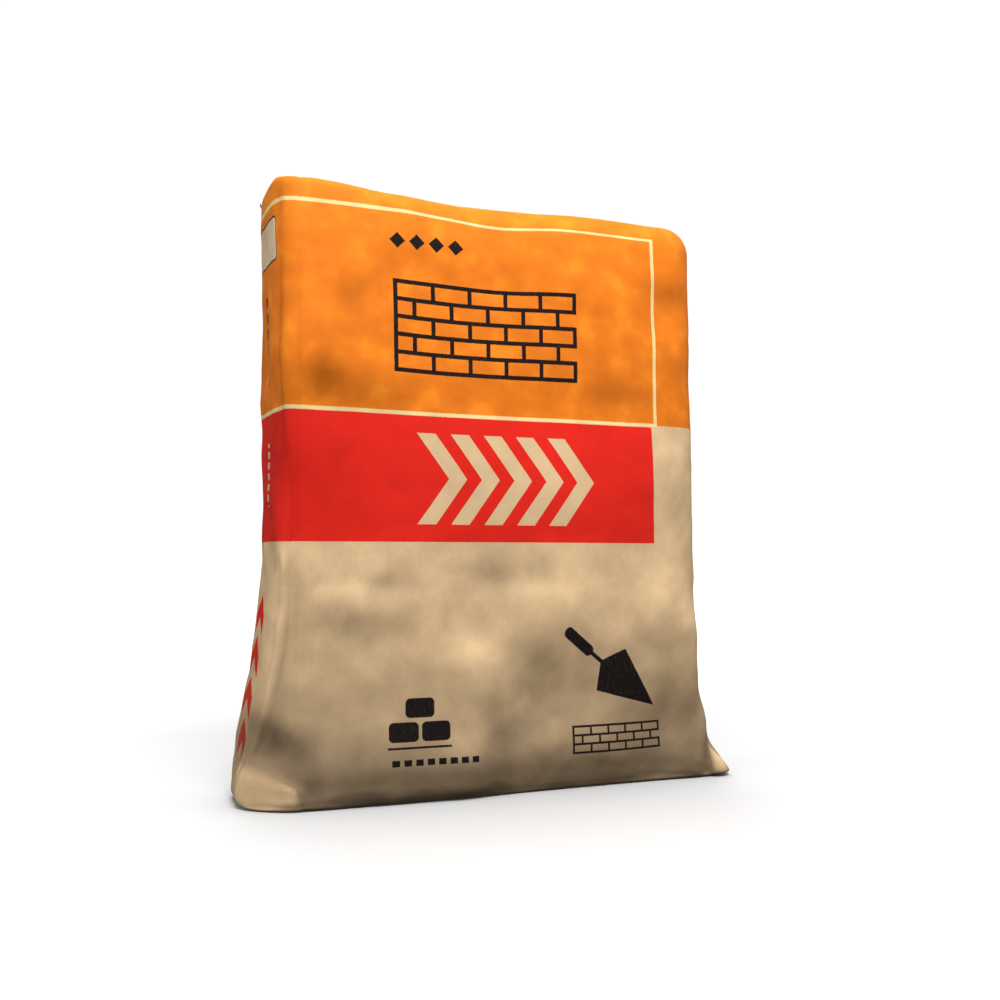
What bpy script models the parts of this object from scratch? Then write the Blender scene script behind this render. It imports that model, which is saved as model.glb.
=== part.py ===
# A filled paper sack of cement, standing upright on its folded bottom.
# Metres, +Z up, front towards -Y, origin on the floor under the middle of the bounding box.

from math import cos, pi, radians, sqrt

import bmesh
import bpy
from mathutils import Vector

# Driving dimensions of the filled sack
BODY_WIDTH = 0.350          # across the bulging sides, above the flared base
BODY_DEPTH = 0.105          # front to back at the lower third, where the sack is fullest
HEIGHT = 0.457              # floor to the top, beside its sag
TOP_DEPTH = 0.088           # front to back just below the shoulder

# The paper flares where it meets the floor: a rounded foot at the left, a pointed toe at the right
FOOT_OUT = 0.019
FOOT_HEIGHT = 0.146
SKIRT_OUT = 0.0135
SKIRT_HEIGHT = 0.102
TOE_OUT = 0.020
TOE_HEIGHT = 0.027
TOE_Y = -0.026              # how far forward the toe's tip lies
TOE_SPREAD = 0.083          # the toe fades out this far behind and before its tip

# How much the sides and the front belly out, and how the left side waves
SIDE_BULGE = 0.0042
SIDE_BULGE_Y = 0.012        # the left side is fullest a little behind the middle
FRONT_BULGE = 0.003
LOW_BELLY = 0.005           # at the floor, left of the middle, the front and back swell this much more
LOW_BELLY_X = -0.080
LOW_BELLY_HALF = 0.150
LEFT_WAIST = 0.003
LEFT_WAIST_Z = 0.220
LEFT_WAIST_HALF = 0.107
LEFT_TOP_OUT = 0.003

# The top sags in the middle and rises to the back corner where the valve is
TOP_SAG = 0.0045
TOP_SAG_X = -0.030
TOP_SAG_HALF = 0.110
VALVE_CORNER_RISE = 0.005

# Edge radii of the sack: across, front to back, and upright
LEFT_EDGE = 0.008
RIGHT_EDGE = 0.0205
FOOT_EDGE = 0.036           # the foot's corners, as seen from above
TOE_EDGE = 0.009
SHOULDER_DEPTH = 0.0205
BASE_DEPTH = 0.009
LEFT_TOP_RADIUS = 0.004
RIGHT_TOP_RADIUS = 0.0235
BASE_RADIUS = 0.014
FOOT_RADIUS = 0.007
TOE_RADIUS = 0.004

# Paper, and the gap that is kept between pieces that touch
PLIES = 0.00045             # three plies of kraft paper, as one wall
PATCH_PAPER = 0.0003
GAP = 0.0003

# The cover strips that are pasted over the folded ends
PATCH_HALF_LENGTH = 0.146
TOP_PATCH_HALF_WIDTH = 0.022
BOTTOM_PATCH_HALF_WIDTH = 0.038
PATCH_CORNER = 0.008

# The valve: a flat paper sleeve through a slit at the left end of the top
SLEEVE_HALF_WIDTH = 0.025
SLEEVE_HALF_HEIGHT = 0.00035
SLEEVE_PAPER = 0.00025
SLEEVE_TIP_OUT = 0.003
SLEEVE_INSIDE = 0.085
SLEEVE_Y = 0.010
SLEEVE_BELOW_TOP = 0.0085
SLEEVE_SIDES = 28

# How finely the box that the sack is shaped from is cut: in each round edge, and between them
CORNER_STEPS = 3
STEPS_ACROSS = 10
STEPS_DEEP = 3
STEPS_UP = 11

# Linear colours and roughness of the materials
KRAFT = (0.485, 0.335, 0.205)
PATCH_KRAFT = (0.420, 0.285, 0.170)
SLEEVE_GREY = (0.300, 0.330, 0.340)
CEMENT_GREY = (0.270, 0.270, 0.260)

SACK_BOTTOM = PATCH_PAPER + GAP
SLEEVE_Z = HEIGHT - SLEEVE_BELOW_TOP


def clear_scene():
    for obj in list(bpy.data.objects):
        bpy.data.objects.remove(obj, do_unlink=True)


def material(name, colour, roughness):
    mat = bpy.data.materials.new(name)
    mat.use_nodes = True
    shader = mat.node_tree.nodes["Principled BSDF"]
    shader.inputs["Base Color"].default_value = (*colour, 1.0)
    shader.inputs["Roughness"].default_value = roughness
    shader.inputs["Metallic"].default_value = 0.0
    mat.diffuse_color = (*colour, 1.0)
    return mat


def collection(name):
    group = bpy.data.collections.new(name)
    bpy.context.scene.collection.children.link(group)
    return group


def add_object(name, bm, group, mat):
    mesh = bpy.data.meshes.new(name)
    bm.to_mesh(mesh)
    bm.free()
    obj = bpy.data.objects.new(name, mesh)
    group.objects.link(obj)
    if mat:
        mesh.materials.append(mat)
    mesh.shade_smooth()
    return obj


def mix(low, high, t):
    return low + (high - low) * t


def ease(value, start, end):
    """0 at start, 1 at end, with no kink at either."""
    t = min(1.0, max(0.0, (value - start) / (end - start)))
    return t * t * (3 - 2 * t)


def bump(value, centre, half):
    """1 at the centre, falling smoothly to 0 at half its width away."""
    t = min(1.0, abs(value - centre) / half)
    return (1 + cos(pi * t)) / 2


def rounded(x, y, z, half, radius):
    """A point of a box, moved so that the box's edges and corners are round."""
    inside = []
    over = []
    for value, size, r in zip((x, y, z), half, radius):
        core = max(-(size - r), min(size - r, value))
        inside.append(core)
        over.append((value - core) / r)
    u, v, w = over
    ball = (
        u * sqrt(max(0.0, 1 - v * v / 2 - w * w / 2 + v * v * w * w / 3)),
        v * sqrt(max(0.0, 1 - w * w / 2 - u * u / 2 + w * w * u * u / 3)),
        w * sqrt(max(0.0, 1 - u * u / 2 - v * v / 2 + u * u * v * v / 3)),
    )
    return [core + r * b for core, r, b in zip(inside, radius, ball)]


def near_floor(z):
    return 1 - ease(z, 0.0, FOOT_HEIGHT / 2)


def edge_radii(x, z):
    """The radii of the sack's edges near x, at height z: across, front to back, and upright."""
    right = ease(x, -0.5 * BODY_WIDTH, 0.5 * BODY_WIDTH)
    low = near_floor(z)
    high = ease(z, 0.8 * HEIGHT, HEIGHT)
    right_edge = mix(RIGHT_EDGE, TOE_EDGE, low)
    across = LEFT_EDGE if x < 0 else right_edge
    along = mix(mix(LEFT_EDGE, right_edge, right), SHOULDER_DEPTH, high)
    if z > HEIGHT / 2:
        upright = mix(LEFT_TOP_RADIUS, RIGHT_TOP_RADIUS, right)
        across = mix(across, upright, high)
        upright = mix(upright, SHOULDER_DEPTH, bump(x, 0.0, 0.48 * BODY_WIDTH))
    else:
        end_radius = FOOT_RADIUS if x < 0 else TOE_RADIUS
        upright = mix(BASE_RADIUS, end_radius, ease(abs(x), 0.25 * BODY_WIDTH, 0.5 * BODY_WIDTH))
        along = mix(along, BASE_DEPTH, low)
    return across, along, upright


def foot_narrowing(x, z):
    """How much narrower than the body the foot is at x, so that its corners are round from above."""
    past = min(1.0, max(0.0, 1 - (x + BODY_WIDTH / 2) / FOOT_EDGE))
    lost = FOOT_EDGE * (1 - sqrt(1 - past * past))
    return 1 - near_floor(z) * lost / (BODY_DEPTH / 2)


def half_depth(z):
    """Half the sack's depth at height z: fullest low down, thinner towards the shoulder."""
    return mix(BODY_DEPTH, TOP_DEPTH, ease(z, 0.45 * HEIGHT, 1.02 * HEIGHT)) / 2


def sack_point(x, y, z):
    """A point of the plain box that the sack is made from, moved to where the filled sack has it."""
    half = (BODY_WIDTH / 2, BODY_DEPTH / 2, HEIGHT / 2)
    x, y, z = rounded(x, y, z - HEIGHT / 2, half, edge_radii(x, z))
    z += HEIGHT / 2
    side = 2 * x / BODY_WIDTH
    front = 2 * y / BODY_DEPTH

    y = front * (half_depth(z) - FRONT_BULGE * side * side) * foot_narrowing(x, z)
    y += front * LOW_BELLY * bump(x, LOW_BELLY_X, LOW_BELLY_HALF) * near_floor(z)
    x -= side * SIDE_BULGE * ((y - SIDE_BULGE_Y) / (BODY_DEPTH / 2)) ** 2

    left = max(0.0, -side)
    right = max(0.0, side)
    x += left * LEFT_WAIST * bump(z, LEFT_WAIST_Z, LEFT_WAIST_HALF)
    x -= left * LEFT_TOP_OUT * ease(z, 0.8 * HEIGHT, 0.95 * HEIGHT)
    x -= left**3 * FOOT_OUT * (1 - ease(z, 0.0, FOOT_HEIGHT))
    x += right**3 * SKIRT_OUT * (1 - ease(z, 0.0, SKIRT_HEIGHT))
    toe = max(0.0, 1 - z / TOE_HEIGHT)
    x += right**4 * TOE_OUT * toe * bump(y, TOE_Y, TOE_SPREAD)

    level = ease(z, 0.5 * HEIGHT, HEIGHT)
    z -= level * TOP_SAG * bump(x, TOP_SAG_X, TOP_SAG_HALF)
    z += level * VALVE_CORNER_RISE * left**2 * max(0.0, front)
    return x, y, SACK_BOTTOM + z * (1 - SACK_BOTTOM / HEIGHT)


def lines(half, low_corner, high_corner, middle_steps):
    """Where the box is cut along one of its sides: closer together in the round edges."""
    low = [-half + low_corner * i / CORNER_STEPS for i in range(CORNER_STEPS)]
    start = -half + low_corner
    end = half - high_corner
    middle = [mix(start, end, i / middle_steps) for i in range(middle_steps + 1)]
    high = [half - high_corner * i / CORNER_STEPS for i in reversed(range(CORNER_STEPS))]
    return low + middle + high


ACROSS = lines(BODY_WIDTH / 2, 2 * LEFT_EDGE, RIGHT_EDGE, STEPS_ACROSS)
DEEP = lines(BODY_DEPTH / 2, SHOULDER_DEPTH, SHOULDER_DEPTH, STEPS_DEEP)
UP = [HEIGHT / 2 + z for z in lines(HEIGHT / 2, BASE_RADIUS, RIGHT_TOP_RADIUS, STEPS_UP)]


def body_middle():
    """How far the body's middle has to lie from the origin, for the widest points to lie evenly."""
    reach = [sack_point(x, y, z)[0] for x in (ACROSS[0], ACROSS[-1]) for y in DEEP for z in UP]
    return -(min(reach) + max(reach)) / 2


BODY_X = body_middle()


def sack_form():
    """A cube, cut into a grid and moved to the filled sack's shape."""
    cuts = (ACROSS, DEEP, UP)
    bm = bmesh.new()
    bmesh.ops.create_cube(bm, size=1.0)
    for axis, places in enumerate(cuts):
        edges = [e for e in bm.edges if abs(e.verts[0].co[axis] - e.verts[1].co[axis]) > 0.9]
        bmesh.ops.subdivide_edges(bm, edges=edges, cuts=len(places) - 2, use_grid_fill=True)
    for vert in bm.verts:
        x, y, z = (
            places[round((vert.co[axis] + 0.5) * (len(places) - 1))]
            for axis, places in enumerate(cuts)
        )
        vert.co = Vector(sack_point(x, y, z)) + Vector((BODY_X, 0.0, 0.0))
    return bm


def cut_by(obj, cutter):
    cut = obj.modifiers.new("Cut by " + cutter.name, "BOOLEAN")
    cut.operation = "DIFFERENCE"
    cut.solver = "EXACT"
    cut.object = cutter


def paper_sack(group, cutter):
    """The sack's paper: the folded tube with both of its closed ends, as one wall with the valve's slit."""
    sack = add_object("paper_sack", sack_form(), group, material("kraft_paper", KRAFT, 0.75))
    wall = sack.modifiers.new("Plies", "SOLIDIFY")
    wall.thickness = PLIES
    wall.offset = -1.0
    cut_by(sack, cutter)
    return sack


def cement_fill(group, cutter):
    """The cement, which fills the sack out to its wall."""
    fill = add_object("cement_fill", sack_form(), group, material("cement_powder", CEMENT_GREY, 0.95))
    shrink = fill.modifiers.new("Inside the paper", "DISPLACE")
    shrink.direction = "NORMAL"
    shrink.mid_level = 0.0
    shrink.strength = -(PLIES + GAP)
    cut_by(fill, cutter)
    return fill


def left_wall_x():
    """Where the left end of the sack's top lies at the height of the valve."""
    return BODY_X + sack_point(-BODY_WIDTH / 2, SLEEVE_Y, SLEEVE_Z)[0]


def valve_sleeve(group):
    """The valve's sleeve: a flat tube, open at both ends, with its mouth just outside the sack."""
    length = SLEEVE_INSIDE + SLEEVE_TIP_OUT
    bm = bmesh.new()
    bmesh.ops.create_cone(
        bm, cap_ends=False, segments=SLEEVE_SIDES, radius1=1.0, radius2=1.0, depth=length
    )
    for vert in bm.verts:
        across, up, along = vert.co.y, -vert.co.x, vert.co.z
        vert.co = Vector((along, across * SLEEVE_HALF_WIDTH, up * SLEEVE_HALF_HEIGHT))
    sleeve = add_object("valve_sleeve", bm, group, material("sleeve_paper", SLEEVE_GREY, 0.7))
    sleeve.location = (left_wall_x() - SLEEVE_TIP_OUT + length / 2, SLEEVE_Y, SLEEVE_Z)
    wall = sleeve.modifiers.new("Sleeve paper", "SOLIDIFY")
    wall.thickness = SLEEVE_PAPER
    wall.offset = 1.0
    return sleeve


def valve_cutter(group):
    """The room for the sleeve: its outer size and the gap, from outside the sack to past its end."""
    half_width = SLEEVE_HALF_WIDTH + SLEEVE_PAPER + GAP
    half_height = SLEEVE_HALF_HEIGHT + SLEEVE_PAPER + GAP
    start = left_wall_x() - 4 * SLEEVE_TIP_OUT
    end = left_wall_x() + SLEEVE_INSIDE + GAP
    bm = bmesh.new()
    bmesh.ops.create_cube(bm, size=1.0)
    bmesh.ops.scale(bm, vec=(end - start, 2 * half_width, 2 * half_height), verts=bm.verts)
    cutter = add_object("valve_room", bm, group, None)
    cutter.location = ((start + end) / 2, SLEEVE_Y, SLEEVE_Z)
    cutter.display_type = "WIRE"
    cutter.hide_render = True
    return cutter


def bottom_patch(group):
    """The cover strip under the folded bottom, which the sack stands on."""
    bm = bmesh.new()
    bmesh.ops.create_cube(bm, size=1.0)
    size = (2 * PATCH_HALF_LENGTH, 2 * BOTTOM_PATCH_HALF_WIDTH, PATCH_PAPER)
    bmesh.ops.scale(bm, vec=size, verts=bm.verts)
    uprights = [e for e in bm.edges if abs(e.verts[0].co.z - e.verts[1].co.z) > PATCH_PAPER / 2]
    bmesh.ops.bevel(bm, geom=uprights, offset=PATCH_CORNER, segments=4, profile=0.5, affect="EDGES")
    patch = add_object("bottom_patch", bm, group, material("bottom_patch_paper", PATCH_KRAFT, 0.8))
    patch.location = (BODY_X, 0.0, PATCH_PAPER / 2)
    patch.data.set_sharp_from_angle(angle=radians(40))
    return patch


def top_patch(group, sack):
    """The cover strip over the folded top: the sack's own top faces, raised by the gap."""
    sack.modifiers["Plies"].show_viewport = False
    depsgraph = bpy.context.evaluated_depsgraph_get()
    bm = bmesh.new()
    bm.from_mesh(sack.evaluated_get(depsgraph).to_mesh())
    sack.modifiers["Plies"].show_viewport = True

    def outside(face):
        middle = face.calc_center_median()
        off_top = middle.z < HEIGHT / 2 or face.normal.z < 0.8
        return off_top or abs(middle.x - BODY_X) > PATCH_HALF_LENGTH or abs(middle.y) > TOP_PATCH_HALF_WIDTH

    bmesh.ops.delete(bm, geom=[f for f in bm.faces if outside(f)], context="FACES")
    for vert in bm.verts:
        vert.co.z += GAP
    patch = add_object("top_patch", bm, group, material("top_patch_paper", PATCH_KRAFT, 0.8))
    sheet = patch.modifiers.new("Patch paper", "SOLIDIFY")
    sheet.thickness = PATCH_PAPER
    sheet.offset = 1.0
    return patch


def main():
    clear_scene()
    parts = collection("cement_bag")
    cutters = collection("cement_bag_cutters")
    room = valve_cutter(cutters)
    sack = paper_sack(parts, room)
    cement_fill(parts, room)
    valve_sleeve(parts)
    top_patch(parts, sack)
    bottom_patch(parts)


main()
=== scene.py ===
from math import atan, cos, pi, radians, sin

import bmesh
import bpy
import numpy as np
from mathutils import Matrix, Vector, noise


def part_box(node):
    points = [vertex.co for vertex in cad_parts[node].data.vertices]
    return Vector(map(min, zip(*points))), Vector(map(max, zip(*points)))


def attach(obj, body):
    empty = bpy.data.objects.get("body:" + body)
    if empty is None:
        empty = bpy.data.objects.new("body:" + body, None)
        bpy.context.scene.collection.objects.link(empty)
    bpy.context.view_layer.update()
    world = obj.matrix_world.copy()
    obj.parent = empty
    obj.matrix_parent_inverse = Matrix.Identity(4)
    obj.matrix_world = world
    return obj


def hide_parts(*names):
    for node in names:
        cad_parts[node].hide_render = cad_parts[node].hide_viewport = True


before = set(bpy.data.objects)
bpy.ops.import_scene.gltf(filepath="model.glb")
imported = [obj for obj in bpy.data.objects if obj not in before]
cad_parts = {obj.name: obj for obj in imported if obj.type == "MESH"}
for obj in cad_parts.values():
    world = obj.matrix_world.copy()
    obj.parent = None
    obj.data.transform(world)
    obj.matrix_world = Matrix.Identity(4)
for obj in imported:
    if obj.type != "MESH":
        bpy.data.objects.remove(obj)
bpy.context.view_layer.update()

# Driving dimensions of the filled sack, in metres, as in the part's source
BODY_WIDTH = 0.350
BODY_DEPTH = 0.105
HEIGHT = 0.457
TOP_DEPTH = 0.088
FOOT_OUT = 0.019
FOOT_HEIGHT = 0.146
SKIRT_OUT = 0.0135
SKIRT_HEIGHT = 0.102
TOE_OUT = 0.020
TOE_HEIGHT = 0.027
TOE_Y = -0.026
TOE_SPREAD = 0.083
SIDE_BULGE = 0.0042
SIDE_BULGE_Y = 0.012
FRONT_BULGE = 0.003
LOW_BELLY = 0.005
LOW_BELLY_X = -0.080
LOW_BELLY_HALF = 0.150
LEFT_WAIST = 0.003
LEFT_WAIST_Z = 0.220
LEFT_WAIST_HALF = 0.107
LEFT_TOP_OUT = 0.003
TOP_SAG = 0.0045
TOP_SAG_X = -0.030
TOP_SAG_HALF = 0.110
VALVE_CORNER_RISE = 0.005
LEFT_EDGE = 0.008
RIGHT_EDGE = 0.0205
FOOT_EDGE = 0.036
TOE_EDGE = 0.009
SHOULDER_DEPTH = 0.0205
BASE_DEPTH = 0.009
LEFT_TOP_RADIUS = 0.004
RIGHT_TOP_RADIUS = 0.0235
BASE_RADIUS = 0.014
FOOT_RADIUS = 0.007
TOE_RADIUS = 0.004
SACK_BOTTOM = 0.0006

# How finely the sack is meshed before its one subdivision: in its round edges, and between them
CORNER_STEPS = 5
PAPER_STEP = 0.0052

# The cloth run that creases the paper: its springs, slack, pressure and length, and how much of it is kept
PAPER_STRETCH = 60.0
PAPER_BEND = 0.5
PAPER_SLACK = 0.010
POWDER_PRESSURE = 1.0
CLOTH_FRAMES = 12
SWELL_PASSES = 120
CREASE_FRONT = 0.36
CREASE_ELSEWHERE = 0.75
CREASE_CAP = 0.0030

# Lumps, ripples and fold lines all over the paper. The larger ones are weaker on the front.
LUMP_SIZE = 0.052
LUMP_HEIGHT = 0.0018
# LUMP_TONE paints the paper lighter on the lumps' swells and darker in their hollows: painted light and shade
LUMP_TONE = 0.35
RIPPLE_SIZE = 0.026
RIPPLE_HEIGHT = 0.0006
FOLD_SPACING = 0.070
FOLD_HEIGHT = 0.0006
FINE_FOLD_SPACING = 0.045
FINE_FOLD_DEPTH = 0.0003
GRAIN_SIZE = 0.011
GRAIN_HEIGHT = 0.0001
FRONT_QUIET = 0.80

# How deep the slanting edges of the top's folds are, and how far the cement stays inside the paper
TOP_FOLD_DEPTH = 0.0009
CEMENT_INSET = 0.0018

# Where the print lies on the paper. U runs right from the front's left edge, and V up from the floor.
RED_LOW = 0.189
RED_HIGH = 0.283
RED_RIGHT = 0.3045
ORANGE_LOW = 0.2845
KEYLINE_TOP = 0.4417
KEYLINE_RIGHT = 0.3085
KEYLINE_WIDTH = 0.0030
SLACK_DROP = 0.0028         # how far the print hangs lower where the top sags
SLACK_U = 0.175
SLACK_HALF = 0.050
LEFT_DROP = 0.0042          # how far the print hangs lower at its left end
LEFT_DROP_FROM = 0.040
LEFT_DROP_TO = 0.115

# Where the front's paper swells and dents: (U, V, half width, half height, tone).
# Above 0 the paper leans back there and catches the light, and below 0 it turns down into shade.
# The tone also scales the paper's colour: painted light above 0 and painted shade below it.
TONES = (
    (0.057, 0.155, 0.015, 0.008, 0.22), (0.080, 0.161, 0.008, 0.006, -0.30),
    (0.100, 0.148, 0.014, 0.008, 0.12), (0.165, 0.166, 0.016, 0.008, -0.28),
    (0.200, 0.154, 0.022, 0.008, 0.26), (0.290, 0.154, 0.018, 0.014, 0.20),
    (0.068, 0.132, 0.026, 0.011, -0.28), (0.020, 0.128, 0.030, 0.020, -0.12),
    (0.150, 0.108, 0.017, 0.013, 0.42), (0.207, 0.093, 0.024, 0.015, -0.38),
    (0.220, 0.115, 0.016, 0.010, -0.15), (0.312, 0.112, 0.012, 0.014, -0.30),
    (0.335, 0.130, 0.012, 0.020, 0.22), (0.140, 0.045, 0.012, 0.016, 0.24),
    (0.215, 0.050, 0.012, 0.014, 0.10), (0.185, 0.055, 0.020, 0.016, -0.10),
    (0.060, 0.060, 0.030, 0.018, 0.05), (0.110, 0.082, 0.020, 0.012, 0.03),
    (0.034, 0.310, 0.013, 0.010, -0.45), (0.055, 0.297, 0.030, 0.009, -0.28),
    (0.048, 0.372, 0.009, 0.008, -0.25), (0.038, 0.358, 0.012, 0.009, 0.15),
    (0.268, 0.310, 0.024, 0.012, -0.22), (0.200, 0.315, 0.020, 0.010, -0.12),
    (0.320, 0.395, 0.016, 0.010, -0.28), (0.318, 0.362, 0.014, 0.010, 0.15),
    (0.330, 0.335, 0.012, 0.012, -0.12), (0.305, 0.345, 0.008, 0.012, -0.12),
    (0.235, 0.405, 0.040, 0.020, 0.12), (0.225, 0.270, 0.050, 0.020, 0.10),
    (0.030, 0.240, 0.035, 0.045, -0.20), (0.312, 0.225, 0.014, 0.014, -0.15),
    (0.312, 0.262, 0.014, 0.018, 0.08), (0.338, 0.020, 0.012, 0.007, 0.20),
    (0.364, 0.019, 0.008, 0.012, 0.55), (0.3505, 0.024, 0.0028, 0.016, -0.50),
    (0.318, 0.068, 0.034, 0.022, -0.34), (0.120, 0.018, 0.090, 0.008, -0.30),
    (0.260, 0.016, 0.060, 0.008, -0.30),
)
TONE_SLOPE = 0.65           # the paper's slope where the tone is 1
# How far the tone paints the colour lighter or darker: painted light and painted shade
TONE_PAINTED_SHADING = 0.42           # how much lighter its colour is there
PAPER_STAIN = 0.60          # how far the mottling of the paper lightens and darkens it

# The foot at the front's left end: a flat tongue on the floor, a slanting dent over it, and a notch beside it
TONGUE_END = 0.0265
TONGUE_TIP_LENGTH = 0.011
TONGUE_TOP = 0.0270
TONGUE_FALL = 0.45
TONGUE_SOFT_EDGE = 0.018
TONGUE_CRISP_EDGE = 0.006
TONGUE_HEIGHT = 0.0030
# The tones paint the tongue lighter and the dent and the notch darker: painted light and painted shade
TONGUE_TONE = 0.42
DENT_U = 0.010
DENT_V = 0.039
DENT_SLANT = radians(-36)
DENT_HALF_LENGTH = 0.018
DENT_HALF_WIDTH = 0.0085
DENT_DEPTH = 0.0045
DENT_TONE = 0.85
NOTCH_U = 0.027
NOTCH_V = 0.015
NOTCH_HALF = 0.0065
NOTCH_DEPTH = 0.0015
NOTCH_TONE = 0.70

# The upright crease near the front's left edge, and the strip beside it that turns back
EDGE_CREASE_U = 0.0170
EDGE_CREASE_HALF = 0.0018
EDGE_CREASE_DEPTH = 0.0006
# The tones paint the crease and the strip darker: painted shade
EDGE_CREASE_TONE = 0.10
STRIP_WIDTH = 0.0165
STRIP_TURNS_BACK = 0.0022
STRIP_SHADE_U = 0.002
STRIP_SHADE_HALF = 0.009
STRIP_TONE = 0.50

# The back's lengthwise seam, with its edge this far right of the middle as seen from the front
SEAM_X = 0.030
SEAM_WIDTH = 0.032
SEAM_FROM_END = 0.012
SEAM_PAPER = 0.00035
SEAM_EDGE_OUT = 0.00045
SEAM_EDGE_IN = 0.00060

# The cover strip over the folded top
COVER_PAPER = 0.00045
COVER_OUT = 0.00025

# The valve's sleeve. Its mouth stands open, and the back end of it is lifted and looks out.
SLEEVE_TURNS = 48
SLEEVE_RINGS = 30
SLEEVE_PAPER = 0.00025
SLEEVE_HALF_HEIGHT = 0.0005
SLEEVE_WAVE = 0.0002
MOUTH_INSIDE = 0.0045
MOUTH_INSIDE_AT_BACK = 0.0036
MOUTH_REACH = 0.006
MOUTH_OPENING = 0.0011
MOUTH_WAVE = 0.0008
MOUTH_LIFT = 0.0115
MOUTH_LIFT_FROM = 0.014
MOUTH_LIFT_FULL = 0.004

# The camera, worked out from the photograph's edges and print lines
FOCAL_PIXELS = 1005
PHOTO_PIXELS = 1000
HORIZON_BELOW_MIDDLE = 60
CAMERA_PLACE = (-0.2758, -0.7642, 0.1761)
CAMERA_YAW = radians(20.4)
SENSOR = 36.0

# Linear colours of paper and ink
KRAFT = (0.660, 0.460, 0.260)
PALE_LINE = (0.760, 0.570, 0.250)
ORANGE = (0.720, 0.180, 0.013)
YELLOW_ORANGE = (0.760, 0.245, 0.018)
RED = (0.680, 0.020, 0.012)
DARK_INK = (0.011, 0.008, 0.008)
WINDOW = (0.640, 0.480, 0.320)
KRAFT_FIBRE = (0.300, 0.190, 0.100)
KRAFT_SPECK = (0.160, 0.100, 0.055)
ORANGE_FIBRE = (0.600, 0.120, 0.010)
RED_FIBRE = (0.420, 0.010, 0.008)
# Painted shade towards the floor
PAINTED_SHADE_BROWN = (0.085, 0.062, 0.042)
GLUE_BROWN = (0.260, 0.170, 0.090)
SLEEVE_GREY = (0.250, 0.300, 0.320)
CEMENT_GREY = (0.270, 0.270, 0.260)
CEMENT_LUMP = (0.200, 0.200, 0.190)

# The floor: its half size, its colour, its painted glow near the sack, where it turns white, and its painted
# contact shadow
FLOOR_HALF = 12.0
FLOOR_WHITE = 0.45
FLOOR_GLOW = 0.34
FLOOR_FADES_FROM = 0.30
FLOOR_WHITE_FROM = 1.10
CONTACT_REACH = 0.20

# The light: how strong the sky is low down, high up and where the camera sees it, and where the lamps look
SKY_LOW = 0.12
SKY_HIGH = 0.57
SKY_SEEN = 1.05
LAMP_TARGET_Z = 0.23


def mix(low, high, t):
    return low + (high - low) * t


def ease(value, start, end):
    """0 at start, 1 at end, with no kink at either."""
    t = np.clip((value - start) / (end - start), 0.0, 1.0)
    return t * t * (3 - 2 * t)


def bump(value, centre, half):
    """1 at the centre, falling smoothly to 0 at half its width away."""
    return (1 + np.cos(pi * np.minimum(1.0, np.abs(value - centre) / half))) / 2


def hill(across, up):
    """1 at the centre, falling away to nothing in every direction."""
    return np.exp(-(across**2 + up**2) / 2)


def turned(u, v, middle_u, middle_v, angle):
    """The same places, measured along and across a direction from a new middle."""
    along = (u - middle_u) * cos(angle) + (v - middle_v) * sin(angle)
    across = (v - middle_v) * cos(angle) - (u - middle_u) * sin(angle)
    return along, across


def shade(colour, factor):
    return tuple(factor * c for c in colour)


def rounded(point, half, radius):
    """Points of a box, moved so that the box's edges and corners are round."""
    core = [np.clip(p, -(h - r), h - r) for p, h, r in zip(point, half, radius)]
    u, v, w = ((p - c) / r for p, c, r in zip(point, core, radius))
    ball = (
        u * np.sqrt(np.maximum(0, 1 - v * v / 2 - w * w / 2 + v * v * w * w / 3)),
        v * np.sqrt(np.maximum(0, 1 - w * w / 2 - u * u / 2 + w * w * u * u / 3)),
        w * np.sqrt(np.maximum(0, 1 - u * u / 2 - v * v / 2 + u * u * v * v / 3)),
    )
    return [c + r * b for c, r, b in zip(core, radius, ball)]


def near_floor(z):
    return 1 - ease(z, 0.0, FOOT_HEIGHT / 2)


def edge_radii(x, z):
    """The radii of the sack's edges near x, at height z: across, front to back, and upright."""
    right = ease(x, -0.5 * BODY_WIDTH, 0.5 * BODY_WIDTH)
    low = near_floor(z)
    high = ease(z, 0.8 * HEIGHT, HEIGHT)
    upper = z > HEIGHT / 2
    right_edge = mix(RIGHT_EDGE, TOE_EDGE, low)
    across = np.where(x < 0, LEFT_EDGE, right_edge)
    along = mix(mix(LEFT_EDGE, right_edge, right), SHOULDER_DEPTH, high)
    shoulder = mix(LEFT_TOP_RADIUS, RIGHT_TOP_RADIUS, right)
    across = np.where(upper, mix(across, shoulder, high), across)
    shoulder = mix(shoulder, SHOULDER_DEPTH, bump(x, 0.0, 0.48 * BODY_WIDTH))
    end_radius = np.where(x < 0, FOOT_RADIUS, TOE_RADIUS)
    base = mix(BASE_RADIUS, end_radius, ease(np.abs(x), 0.25 * BODY_WIDTH, 0.5 * BODY_WIDTH))
    along = np.where(upper, along, mix(along, BASE_DEPTH, low))
    return across, along, np.where(upper, shoulder, base)


def foot_narrowing(x, z):
    """The share of its depth that the foot keeps at x, so that its corners are round from above."""
    past = np.clip(1 - (x + BODY_WIDTH / 2) / FOOT_EDGE, 0.0, 1.0)
    lost = FOOT_EDGE * (1 - np.sqrt(1 - past * past))
    return 1 - near_floor(z) * lost / (BODY_DEPTH / 2)


def half_depth(z):
    """Half the sack's depth at height z: fullest low down, thinner towards the shoulder."""
    return mix(BODY_DEPTH, TOP_DEPTH, ease(z, 0.45 * HEIGHT, 1.02 * HEIGHT)) / 2


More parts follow.
